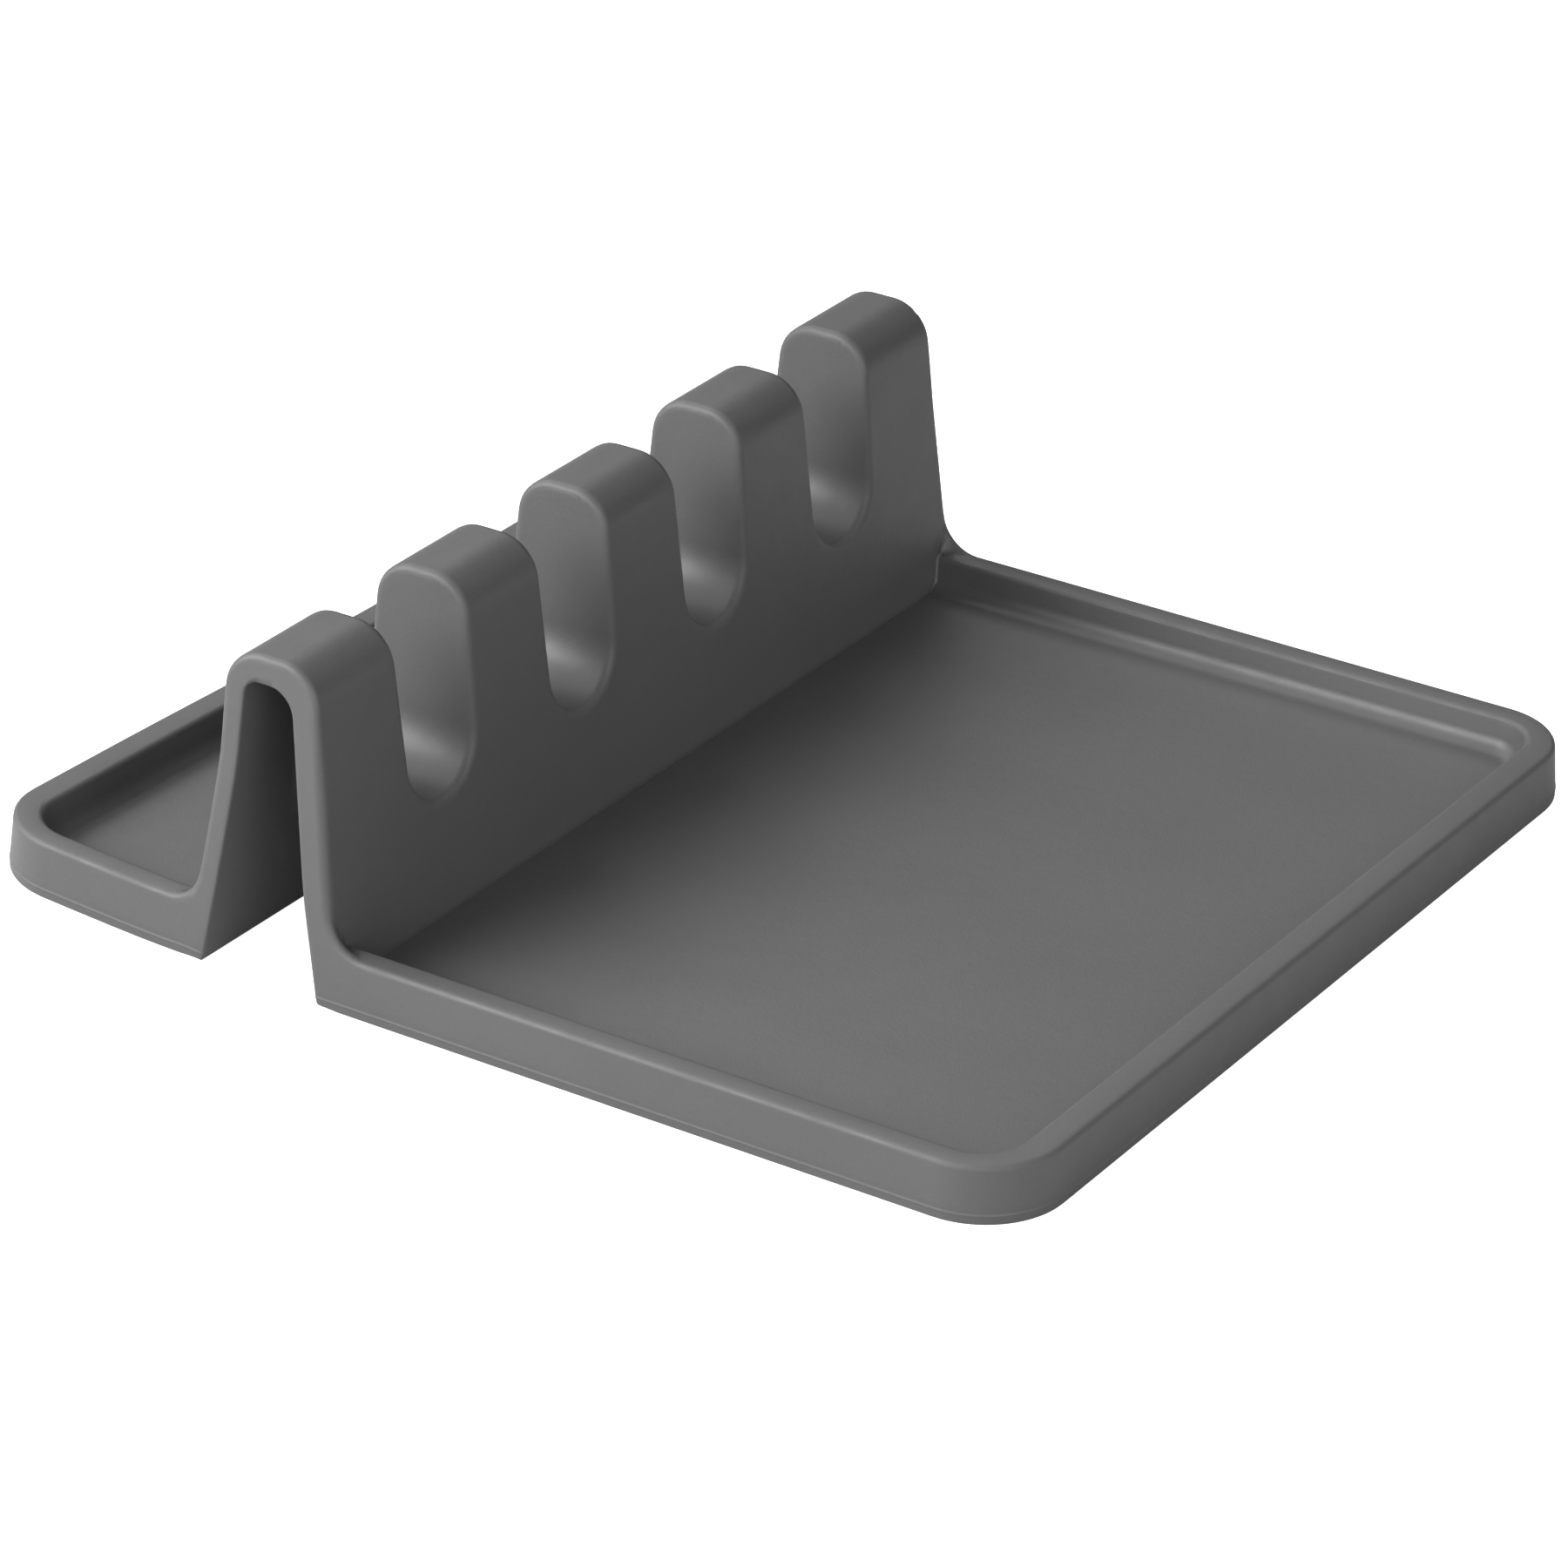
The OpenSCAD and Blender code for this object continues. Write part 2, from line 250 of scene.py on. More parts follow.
class Rest(bpy.types.PropertyGroup):
    """Everything that describes the spoon rest."""

    trays: PointerProperty(type=TraySizes)
    ridge: PointerProperty(type=RidgeSizes)
    slots: PointerProperty(type=SlotSizes)
    lift: PointerProperty(type=Lift)
    finish: PointerProperty(type=Finish)
    studio: PointerProperty(type=Studio)


def step(x, low, high):
    """Smooth step from 0 at low to 1 at high: 3t^2 - 2t^3."""
    t = np.clip((x - low) / (high - low), 0, 1)
    return t * t * (3 - 2 * t)


def round_edge(a, b, r, c=0.0):
    """Two faces joined by an arc. a and b are distances to the faces, negative inside; c is the
    cosine between their outward normals. With p = a + r and q = b + r, the arc is
    sqrt(p^2 + q^2 - 2cpq) / sqrt(1 - c^2) = r; elsewhere the larger of a and b counts."""
    p, q = a + r, b + r
    arc = np.sqrt(np.maximum(p * p + q * q - 2 * c * p * q, 0) / (1 - c * c)) - r
    return np.where((p > c * q) & (q > c * p), arc, np.maximum(a, b))


def hollow_edge(a, b, r, c=0.0):
    """Two solids joined by a hollow fillet: round_edge with its signs turned."""
    return -round_edge(-a, -b, r, c)


def soft_below(u, width):
    """The smaller of u and 0, with its corner eased over width."""
    return 0.5 * (u - np.sqrt(u * u + width * width))


def soft_above(u, width):
    """The larger of u and 0, with its corner eased over width."""
    return 0.5 * (u + np.sqrt(u * u + width * width))


def moves(size):
    """A step of this size along each axis."""
    return np.eye(3) * size


def square_to_round(p, q):
    """Turns squares about the origin into circles: the larger of p and q becomes the radius,
    and the other runs the angle evenly from its axis to 45 degrees."""
    radius = np.maximum(p, q)
    safe = np.maximum(radius, NOT_ZERO)
    turn = np.where(p >= q, q / safe, 2 - p / safe) * math.pi / 4
    return radius * np.cos(turn), radius * np.sin(turn)


class Moulding:
    """The shape of the whole moulding as a distance: negative inside, 0 on its surface."""

    # Widths over which one form turns softly into another
    KNEE_EASE = 3 * MM         # the two leans of the back wall
    FLARE_EASE = 2 * MM        # the flare and the upright part of the tunnel
    RIM_FADE = 3.4 * MM        # the sharp ridge foot and the sweep of a rim into the ridge
    END_GROWTH = 8 * MM        # the edge radius of the rims and that of the ridge's ends
    FOOT_GROWTH = 5 * MM       # the lower outer edge and the edges along the tunnel

    # The bend of the back tray
    FOOT_RISE = (17 * MM, 6 * MM)      # how far before the bend the ridge's foot rises
    TILT_H = 12 * MM                   # height up to which the tilt moves the tray forwards
    PULL_X = (-60 * MM, 45 * MM)       # stretch along X over which the pull sets in

    # How far the turns of the net reach before they fade out
    DRAFT_REACH = (10 * MM, 20 * MM)
    LEAN_REACH = 12 * MM

    # The net's lines: distances from an outer edge, from a rim's inner edge, from the ridge's
    # walls, inwards over its shoulders, round a slot, and heights
    EDGE_LINES = np.array([0, 0.15, 0.35, 0.7, 1.2, 1.9]) * MM
    RIM_LINES = np.array([-2.7, -1.8, -1.1, -0.6, -0.27, 0, 0.5, 1.2, 2.0, 3.0, 4.5, 6.3]) * MM
    WALL_LINES = np.array([0.12, 0.5, 1.2, 2.1, 3.1, 4.3, 5.6, 7.2, 9.5]) * MM
    SHOULDER_LINES = np.array([0, 0.35, 0.8, 1.5, 2.2, 2.9, 3.6, 4.2, 5.4, 6.2]) * MM
    ROUNDING_LINES = np.array([0.35, 0.8, 1.5, 2.4]) * MM
    BASE_LINES = np.array([0, 0.15, 0.35, 0.6, 0.9]) * MM
    SEAM_LINES = np.array([-0.45, -0.18, -0.08, 0, 0.08, 0.18, 0.45, 1.4]) * MM
    FLOOR_LINES = np.array([0, 0.12, 0.4]) * MM
    RIM_HEIGHTS = np.array([-4.75, -4.1, -3.3, -2.4, -1.6, -1.0, -0.6, -0.3, 0]) * MM
    VALLEY_HEIGHTS = np.array([0.5, 1.2, 2.1, 3.3, 4.8, 7.0, 9.2]) * MM
    CROWN_LINES = np.array([0, 0.35, 0.8, 1.5, 2.4, 3.4, 4.6, 5.8]) * MM
    HOLLOW_SHARES = np.array([0, 0.25, 0.75, 1])
    SLOT_STEPS = 6             # lines from the middle of a slot to its side
    DRIP_STEPS = 15            # steps from the front rim to the ridge
    BACK_STEPS = 3             # steps from the ridge to the back rim
    CROWN_STEPS = 4            # steps between the shoulders of the ridge
    FINGER_STEPS = 5           # steps from the middle of a slot up to the tunnel's rounding
    PAST_TROUGH = 3 * MM       # from a trough's outer side to the next line
    PAST_LAST = 0.5 * MM       # from the last trough's outer side to the end of the slots' lines

    # The material's masks
    MARK_REACH = 0.4 * MM      # step over which the curvature is measured
    EDGE_RADIUS = 0.8 * MM     # radius of an edge whose mask is full
    HOLLOW_RADIUS = 0.5 * MM   # the same for a hollow edge
    OUTER_SKIN = -0.5 * MM     # how far inside the outline still counts as the outside

    def __init__(self, rest):
        """Takes the sizes, and works out the places that several methods need."""
        self.t, self.r, self.s, self.lifted = rest.trays, rest.ridge, rest.slots, rest.lift
        trays, ridge, slots = rest.trays, rest.ridge, rest.slots
        self.half_len = CAD_HIGH.x
        self.half_dep = CAD_HIGH.y
        self.ridge_h = CAD_HIGH.z
        self.rim_out = math.tan(trays.draft) * (trays.rim_h - trays.seam_z)
        self.rim_in = self.rim_out + trays.rim_w
        self.end_in = self.rim_out + trays.end_rim_w
        self.slot_mid = slots.slot_z + slots.slot_r
        self.crown_z = self.ridge_h - ridge.crown_t
        self.front_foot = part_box("ridge_front_wall")[0][1]
        self.back_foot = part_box("ridge_back_wall")[1][1]
        self.front_wall = self.front_y(trays.rim_h)
        self.back_wall = self.back_y(trays.rim_h)

    def front_y(self, z):
        """Outer face of the front wall: a plane that leans backwards."""
        return self.front_foot + math.tan(self.r.front_lean) * z

    def back_y(self, z):
        """Outer face of the back wall: two leans with a soft knee between them."""
        lower, upper = math.tan(self.r.back_lean), math.tan(self.r.upper_lean)
        above_knee = z - self.r.knee_h
        knee_y = self.back_foot - lower * self.r.knee_h
        return knee_y - upper * above_knee - (lower - upper) * soft_below(above_knee, self.KNEE_EASE)

    def front_inner(self, z):
        """Tunnel side of the front wall, flared at its foot."""
        flare = self.r.flare_w / self.r.flare_h * soft_below(z - self.r.flare_h, self.FLARE_EASE)
        return self.front_y(z) + self.r.front_wall_t + flare

    def back_inner(self, z):
        """Tunnel side of the back wall."""
        return self.back_y(z) - self.r.back_wall_t

    def outline(self, x, y, longer=0):
        """Distance to the outline seen from above: a rectangle with round corners."""
        r = self.t.corner_r
        qx = np.abs(x) - (self.half_len - self.t.bead_h + longer - r)
        qy = np.abs(y) - (self.half_dep - self.t.bead_h - r)
        return np.hypot(np.maximum(qx, 0), np.maximum(qy, 0)) + np.minimum(np.maximum(qx, qy), 0) - r

    def from_slot(self, x):
        """Distance along X from the middle of the nearest slot."""
        pitch = self.s.pitch
        number = np.clip(np.round(x / pitch + (SLOTS - 1) / 2), 0, SLOTS - 1)
        return x - (number - (SLOTS - 1) / 2) * pitch

    def slot(self, x, z):
        """Distance to a slot: a circle below its middle, two tapered sides above."""
        u = self.from_slot(x)
        high = z - self.slot_mid
        sides = (np.abs(u) - self.s.slot_r - math.tan(self.s.taper) * high) * math.cos(self.s.taper)
        return np.where(high > 0, sides, np.hypot(u, high) - self.s.slot_r)

    def outer_walls(self, plan, z):
        """Upright below the parting line and drafted above it, with the bead as a Gaussian."""
        t = self.t
        side = (plan + math.tan(t.draft) * np.maximum(z - t.seam_z, 0)) * math.cos(t.draft)
        return side - t.bead_h * np.exp(-(((z - t.seam_z) / t.bead_w) ** 2))

    def rimmed_trays(self, plan, x, y, z):
        """All that lies below the crowned rims, less the wells with their sloped walls."""
        t = self.t
        wide = self.outline(x, y, t.rim_w - t.end_rim_w) + self.rim_in
        slope = math.sin(t.rim_slope)
        wall = (wide + math.tan(t.rim_slope) * (t.rim_h - z)) * math.cos(t.rim_slope)
        well = round_edge(wall, t.floor_t - z, t.floor_r, slope)
        across = np.clip((wide + plan + self.rim_out) / (wide - plan - self.rim_out), -1, 1)
        top = z - t.rim_h + t.rim_crown * across * across
        return round_edge(top, -well, t.edge_r, slope)

    def full_ridge(self, y, z):
        """The ridge without its slots and its tunnel."""
        r = self.r
        back = (y - self.back_y(z)) * math.cos(r.upper_lean)
        front = (self.front_y(z) - y) * math.cos(r.front_lean)
        ridge = round_edge(back, z - self.ridge_h, r.shoulder_r, math.sin(r.upper_lean))
        return round_edge(front, ridge, r.shoulder_r, math.sin(r.front_lean))

    def tunnel(self, y, z, slot):
        """The hollow under the crown, closed where the slots and their troughs are."""
        r, s = self.r, self.s
        back = (y - self.back_inner(z)) * math.cos(r.upper_lean)
        front = (self.front_inner(z) - y) * math.cos(r.front_lean)
        hollow = round_edge(back, z - self.crown_z, r.back_hollow_r, math.sin(r.upper_lean))
        hollow = round_edge(front, hollow, r.front_hollow_r, math.sin(r.front_lean))
        return round_edge(hollow, s.side_t - slot, s.inner_r)

    def foot_fillet(self, x, at_front):
        """Radius between the trays and the ridge: small at the floor, and growing over the end
        rims to the sweep that ends at the ridge's ends."""
        t, r = self.t, self.r
        valley = np.where(at_front, r.front_valley_r, r.back_valley_r)
        on_rim = step(self.half_len - np.abs(x), self.end_in, self.end_in - self.RIM_FADE)
        return t.wall_r + (valley - t.wall_r) * on_rim

    def end_radius(self, z):
        """Radius of the outer edges, from the rims up to the fingers."""
        t, r, s = self.t, self.r, self.s
        radius = t.edge_r + (r.end_r - t.edge_r) * step(z, t.rim_h, t.rim_h + self.END_GROWTH)
        return radius + (s.finger_r - r.end_r) * step(z, r.knee_h, self.ridge_h - r.shoulder_r)

    def base_radius(self, y):
        """Radius of the lower edges, larger along the tunnel than along the outline."""
        t, r = self.t, self.r
        front, back = self.front_inner(0), self.back_inner(0)
        past_front = step(y, front - self.FOOT_GROWTH, front)
        past_back = step(y, back + self.FOOT_GROWTH, back)
        return t.base_r + (r.foot_r - t.base_r) * past_front * past_back

    def distance(self, x, y, z):
        """The trays joined to the ridge by a fillet, cut off by the outer walls, less the slots,
        less the tunnel, cut off by the table; every join is an arc."""
        t, r, s = self.t, self.r, self.s
        plan = self.outline(x, y)
        slot = self.slot(x, z)
        at_front = y < (self.front_wall + self.back_wall) / 2
        lean = np.where(at_front, math.sin(r.front_lean), math.sin(r.back_lean))
        trays, ridge = self.rimmed_trays(plan, x, y, z), self.full_ridge(y, z)
        body = hollow_edge(trays, ridge, self.foot_fillet(x, at_front), lean)
        body = round_edge(body, self.outer_walls(plan, z), self.end_radius(z), math.sin(t.draft))
        body = round_edge(body, -slot, s.finger_r)
        body = round_edge(body, -self.tunnel(y, z, slot), r.mouth_r)
        return round_edge(body, -z, self.base_radius(y))

    def gradient(self, points):
        """Slope of the distance along each axis, from two points on either side."""
        slope = np.empty_like(points)
        for axis, move in enumerate(moves(PROBE)):
            ahead = self.distance(*(points + move).T)
            behind = self.distance(*(points - move).T)
            slope[:, axis] = (ahead - behind) / (2 * PROBE)
        return slope

    def settle(self, points, rounds=14, most=0.8 * MM):
        """Moves points onto the surface: p - d g / |g|^2, at most a little in each round. Where
        the slope g is weak it counts as half, so that no point is thrown far."""
        for _ in range(rounds):
            g = self.gradient(points)
            size = np.maximum((g * g).sum(1), 0.5**2)
            move = -(self.distance(*points.T) / size)[:, None] * g
            reach = np.linalg.norm(move, axis=1, keepdims=True)
            points = points + move * np.minimum(1, most / np.maximum(reach, NOT_ZERO))
        return points

    def normals(self, points):
        """Outward unit normals."""
        slope = self.gradient(points)
        return slope / np.linalg.norm(slope, axis=1, keepdims=True)

    def ease(self, points, quads, passes=8, rings=2, blends=6):
        """Where quads are folded, moves the points up to some rings round them halfway to the
        mean of their neighbours a few times, and settles them again."""
        start, end = quads.ravel(), np.roll(quads, -1, 1).ravel()
        count = np.bincount(start)[:, None]
        for _ in range(passes):
            bad = folded(points, quads, self.normals(points))
            if not bad.any():
                break
            near = np.zeros(len(points), dtype=bool)
            near[quads[bad]] = True
            for _ in range(rings):
                near[start[near[end]]] = True
            for _ in range(blends):
                mean = np.stack([np.bincount(start, points[end, k]) for k in range(3)], 1) / count
                points = np.where(near[:, None], (points + mean) / 2, points)
            points[near] = self.settle(points[near])
        return points

    def rise(self, points):
        """How far the bend moves each point: up by a slope that sets in softly along Y, with a
        small rise of the ridge's back foot, growing towards -X; and forwards by the tilt. Away
        from that end the back rim is drawn forwards a little. The crown stays."""
        x, y, z = points.T
        b = self.lifted
        share = soft_above(-x, b.end_w) / self.half_len * (1 - step(z, self.t.rim_h, self.r.knee_h))
        past = y - b.bend_y
        foot = b.foot * step(past, -self.FOOT_RISE[0], -self.FOOT_RISE[1])
        up = foot + b.slope * soft_above(past, b.bend_w)
        tilt = b.slope * (1 + past / np.hypot(past, b.bend_w)) / 2
        pull = b.pull * step(x, *self.PULL_X) * step(y, b.bend_y, self.half_dep)
        return np.stack([0 * x, share * tilt * -np.minimum(z, self.TILT_H) - pull, share * up], 1)

    def lift(self, points, normals):
        """Points and normals of the bent moulding: n' = n - (slope of the rise) n."""
        turned = normals.copy()
        for axis, move in enumerate(moves(PROBE)):
            change = (self.rise(points + move) - self.rise(points - move)) / (2 * PROBE)
            turned[:, axis] -= (change * normals).sum(1)
        turned /= np.linalg.norm(turned, axis=1, keepdims=True)
        return points + self.rise(points), turned

    def rim_lines(self, rim_in):
        """Distances from an edge where the net has a line: close together on the roundings."""
        return np.concatenate([self.EDGE_LINES, rim_in + self.RIM_LINES, [self.t.corner_r]])

    def slot_lines(self):
        """Distances from the middle of a slot to its side, in even steps."""
        return self.s.slot_r * np.arange(self.SLOT_STEPS + 1) / self.SLOT_STEPS

    def lines_x(self):
        """The net's lines along X: both ends, the slots with their troughs, and one between."""
        s = self.s
        end = self.rim_lines(self.end_in)
        side = s.slot_r + s.side_t
        beyond = [side, side + self.PAST_TROUGH, s.pitch / 2]
        half = np.concatenate([self.slot_lines(), s.slot_r + self.ROUNDING_LINES, beyond])
        half = np.concatenate([-half[:0:-1], half])
        middles = (np.arange(SLOTS) - (SLOTS - 1) / 2) * s.pitch
        along = (middles[:, None] + half).ravel()
        last = middles[-1] + side + self.PAST_LAST
        along = along[np.abs(along) < last]
        gap = (last + self.half_len - self.t.corner_r) / 2
        return np.concatenate([end - self.half_len, along, self.half_len - end, [-gap, gap]])

    def lines_y(self):
        """The net's lines along Y: front rim, floor, ridge, floor and back rim."""
        r, t = self.r, self.t
        edge = self.rim_lines(self.rim_in)
        near = self.WALL_LINES
        start = -self.half_dep + t.corner_r
        front = np.linspace(start, self.front_wall - near[-1], self.DRIP_STEPS + 1)[1:]
        end = self.half_dep - t.corner_r
        rear = np.linspace(self.back_wall + near[-1], end, self.BACK_STEPS + 1)[1:-1]
        f = self.front_wall + np.append(self.SHOULDER_LINES, [r.front_wall_t, r.shoulder_r])
        b = self.back_wall - np.append(self.SHOULDER_LINES, [r.back_wall_t, r.shoulder_r])
        inside = np.linspace(f[-1], b[-1], self.CROWN_STEPS + 1)[1:-1]
        ys = [edge - self.half_dep, front, self.front_wall - near, f, inside, b]
        ys += [self.back_wall + near, rear, self.half_dep - edge]
        return np.concatenate(ys)

    def lines_z(self):
        """The net's lines along Z, from the table to the crown."""
        r, s, t = self.r, self.s, self.t
        under = s.slot_z - self.ROUNDING_LINES
        turn = self.slot_mid - self.slot_lines()[::-1]
        hollow = self.crown_z - r.front_hollow_r * self.HOLLOW_SHARES
        finger = np.linspace(self.slot_mid, hollow[-1], self.FINGER_STEPS + 1)[1:-1]
        low = t.rim_h + np.concatenate([self.RIM_HEIGHTS, self.VALLEY_HEIGHTS])
        high = self.ridge_h - np.append(r.shoulder_r, self.CROWN_LINES)
        seam, floor = t.seam_z + self.SEAM_LINES, t.floor_t + self.FLOOR_LINES
        return np.concatenate([self.BASE_LINES, seam, floor, low, under, turn, finger, hollow, high])

    def lines(self):
        """The net's lines along X, Y and Z before it takes the shape of the moulding."""
        rows = (self.lines_x(), self.lines_y(), self.lines_z())
        return [np.unique(np.round(row, DECIMALS)) for row in rows]

    def cells(self, xs, ys, zs):
        """Which boxes between the lines are silicone."""
        x, y, z = np.meshgrid(*[(a[1:] + a[:-1]) / 2 for a in (xs, ys, zs)], indexing="ij")
        t, r, s = self.t, self.r, self.s
        rim = (self.half_len - np.abs(x) < self.end_in) | (self.half_dep - np.abs(y) < self.rim_in)
        tray = (z < t.floor_t) | ((z < t.rim_h) & rim)
        ridge = (y > self.front_wall) & (y < self.back_wall)
        u = np.abs(self.from_slot(x))
        slot = (u < s.slot_r) & (z > s.slot_z)
        inside = (y > self.front_wall + r.front_wall_t) & (y < self.back_wall - r.back_wall_t)
        trough = np.where(z > self.slot_mid, u, np.maximum(u, self.slot_mid - z)) < s.slot_r + s.side_t
        return (tray & ~ridge) | (ridge & ~slot & ~(inside & (z < self.crown_z) & ~trough))

    def bend_rims(self, x0, y0, z0):
        """X and Y with the rims' inner faces sloped, the corners round and the sides drafted."""
        t = self.t
        low = z0 <= t.rim_h + TINY
        tx, ty = self.half_len - np.abs(x0), self.half_dep - np.abs(y0)
        in_tray = (y0 < self.front_wall + TINY) | (y0 > self.back_wall - TINY)
        foot = np.clip(t.rim_h - z0, 0, t.rim_h - t.floor_t) * math.tan(t.rim_slope) * low
        tx = tx + foot * np.interp(tx, [0, self.end_in, t.corner_r], [0, 1, 0]) * in_tray
        ty = ty + foot * np.interp(ty, [0, self.rim_in, t.corner_r], [0, 1, 0])

        p, q = np.maximum(t.corner_r - tx, 0), np.maximum(t.corner_r - ty, 0)
        corner = (p > 0) & (q > 0)
        pr, qr = square_to_round(p, q)
        tx, ty = np.where(corner, t.corner_r - pr, tx), np.where(corner, t.corner_r - qr, ty)
        inwards = math.tan(t.draft) * np.maximum(z0 - t.seam_z, 0)
        tx = tx + inwards * np.interp(tx, [0, *self.DRAFT_REACH], [1, 1, 0])
        ty = ty + inwards * np.interp(ty, [0, t.corner_r], [1, 0]) * low
        return np.sign(x0) * (self.half_len - tx), np.where(y0 < 0, -1, 1) * (self.half_dep - ty)

    def bend_slots(self, x0, y0, z0, x):
        """X and Z with the slots' sides tapered and their bottoms and troughs round."""
        s = self.s
        u = self.from_slot(x0)
        wide = math.tan(s.taper) * np.maximum(z0 - self.slot_mid, 0)
        x = x + np.sign(u) * wide * np.interp(np.abs(u), [0, s.slot_r, s.pitch / 2], [0, 1, 0])
        below = np.maximum(self.slot_mid - z0, 0)
        pr, qr = square_to_round(np.abs(u), below)
        ring = s.slot_r + s.side_t
        share = 1 - step(np.maximum(np.abs(u), below), ring, s.pitch / 2)
        share = share * ((below > 0) & (y0 > self.front_wall - TINY) & (y0 < self.back_wall + TINY))
        return x + share * np.sign(u) * (pr - np.abs(u)), z0 - share * (qr - below)

    def bend_ridge(self, y0, z0, y, z):
        """Y and Z with the ridge's walls leaning and its shoulders round."""
        r = self.r
        from_f, from_b = y0 - self.front_wall, self.back_wall - y0
        high = np.maximum(z0 - (self.ridge_h - r.shoulder_r), 0)
        rows = []
        for off in (from_f, from_b):
            p = np.maximum(r.shoulder_r - off, 0)
            pr, qr = square_to_round(p, high)
            turn = (off > -TINY) & (p > 0) & (high > 0)
            rows.append(np.where(turn, r.shoulder_r - pr, np.minimum(off, r.shoulder_r)))
            z = np.where(turn, z + qr - high, z)
        flare = (self.front_inner(z) - self.front_y(z)) / r.front_wall_t
        at_f = self.front_y(z) + rows[0] * flare
        at_b = self.back_y(z) - rows[1]
        inner = np.clip((from_f - r.shoulder_r) / (from_f + from_b - 2 * r.shoulder_r), 0, 1)
        y = np.where((from_f > -TINY) & (from_b > -TINY), at_f + (at_b - at_f) * inner, y)
        lean_f, lean_b = self.front_y(z0) - self.front_wall, self.back_y(z0) - self.back_wall
        for off, shift in ((from_f, lean_f), (from_b, lean_b)):
            y = np.where(off < -TINY, y + np.interp(-off, [0, self.LEAN_REACH], [1, 0]) * shift, y)
        return y, z

    def near_shape(self, net):
        """Bends the net close to the moulding, so that it settles without folds: walls lean, and
        square corners become round."""
        t, r = self.t, self.r
        x0, y0, z0 = net.T
        x, y = self.bend_rims(x0, y0, z0)
        x, z = self.bend_slots(x0, y0, z0, x)
        y, z = self.bend_ridge(y0, z0, y, z)

        at_end = step(self.half_len - np.abs(x0), self.end_in, self.end_in - self.RIM_FADE)
        front, back = self.front_y(z), self.back_y(z)
        y, z = bend_hollow(y, z, front, 1, t.rim_h, -1, r.front_valley_r, r.front_wall_t, at_end)
        y, z = bend_hollow(y, z, back, -1, t.rim_h, -1, r.back_valley_r, r.back_wall_t, at_end)
        inner, crown = self.front_inner(z), self.crown_z
        y, z = bend_hollow(y, z, inner, -1, crown, 1, r.front_hollow_r, r.crown_t, 1)
        return np.stack([x, y, z], 1)

    def skin(self):
        """Corner points of the surface with their outward normals, its quads and its masks."""
        axes = self.lines()
        quads = outer_quads(self.cells(*axes))
        ny, nz = len(axes[1]), len(axes[2])
        number = (quads[..., 0] * ny + quads[..., 1]) * nz + quads[..., 2]
        used, index = np.unique(number, return_inverse=True)
        net = np.stack([axes[0][used // (ny * nz)], axes[1][used // nz % ny], axes[2][used % nz]], 1)
        quads = index.reshape(number.shape)
        points = self.ease(self.settle(self.near_shape(net)), quads)
        marks = self.marks(points)
        return *self.lift(points, self.normals(points)), quads, marks

    def marks(self, points):
        """Masks from 0 to 1 for the material. The sum of the distances one step away along each
        axis, less six times the distance here, over the step squared, is the curvature: 1/r on
        an edge of radius r. The parting line fades with the height over or under it."""
        total = -6 * self.distance(*points.T)
        for move in moves(self.MARK_REACH):
            total = total + self.distance(*(points + move).T) + self.distance(*(points - move).T)
        bend = total / self.MARK_REACH**2
        from_seam = (points[:, 2] - self.t.seam_z) / (2 * self.t.bead_w)
        outside = self.outline(points[:, 0], points[:, 1]) > self.OUTER_SKIN
        return {
            # The edge mask carries the edges' rubbing and their painted highlight into the material
            "edge": np.clip(bend * self.EDGE_RADIUS, 0, 1),
            # The hollow mask carries painted shade into the tight fillets
            "hollow": np.clip(-bend * self.HOLLOW_RADIUS, 0, 1),
            # The parting line mask carries a painted highlight, with the line's own paler tone, into
            # the material
            "seam": np.exp(-(from_seam**2)) * outside,
        }


def bend_hollow(y, z, wall, y_sign, level, z_sign, radius, fade, share):
    """Y and Z near the corner between a wall and a level face, turned round the middle of the
    hollow fillet that fills it; the turn fades out past the faces."""
    p = radius + y_sign * (y - wall)
    q = radius + z_sign * (z - level)
    pr, qr = square_to_round(np.maximum(p, 0), np.maximum(q, 0))
    share = share * ((p > 0) & (q > 0)) * (1 - step(np.maximum(p, q), radius, radius + fade))
    return y + share * y_sign * (pr - p), z + share * z_sign * (qr - q)


def folded(points, quads, normals):
    """Which quads have a corner that faces away from the surface there."""
    corners = points[quads]
    face = np.cross(np.roll(corners, -1, 1) - corners, np.roll(corners, 1, 1) - corners)
    size = np.maximum(np.linalg.norm(face, axis=2), NOT_ZERO)
    return ((face * normals[quads]).sum(2) / size < FOLD_LIMIT).any(1)


def outer_quads(solid):
    """Quads between full and empty boxes, turned outwards, as line numbers along X, Y and Z."""
    padded = np.pad(solid, 1)
    square = np.array([[0, 0, 0], [0, 1, 0], [0, 1, 1], [0, 0, 1]])
    found = []
    # Where X, Y and Z are once the axis comes first, and which direction that turns inside out
    for axis, order, inside_out in ((0, [0, 1, 2], 1), (1, [1, 0, 2], -1), (2, [1, 2, 0], 1)):
        a = np.moveaxis(padded, axis, 0).astype(np.int8)
        change = a[:-1] - a[1:]
        for sign in (1, -1):
            at = np.argwhere(change == sign)
            at[:, 1:] -= 1
            quads = (at[:, None, :] + square)[..., order]
            found.append(quads if sign == inside_out else quads[:, ::-1])
    return np.concatenate(found)


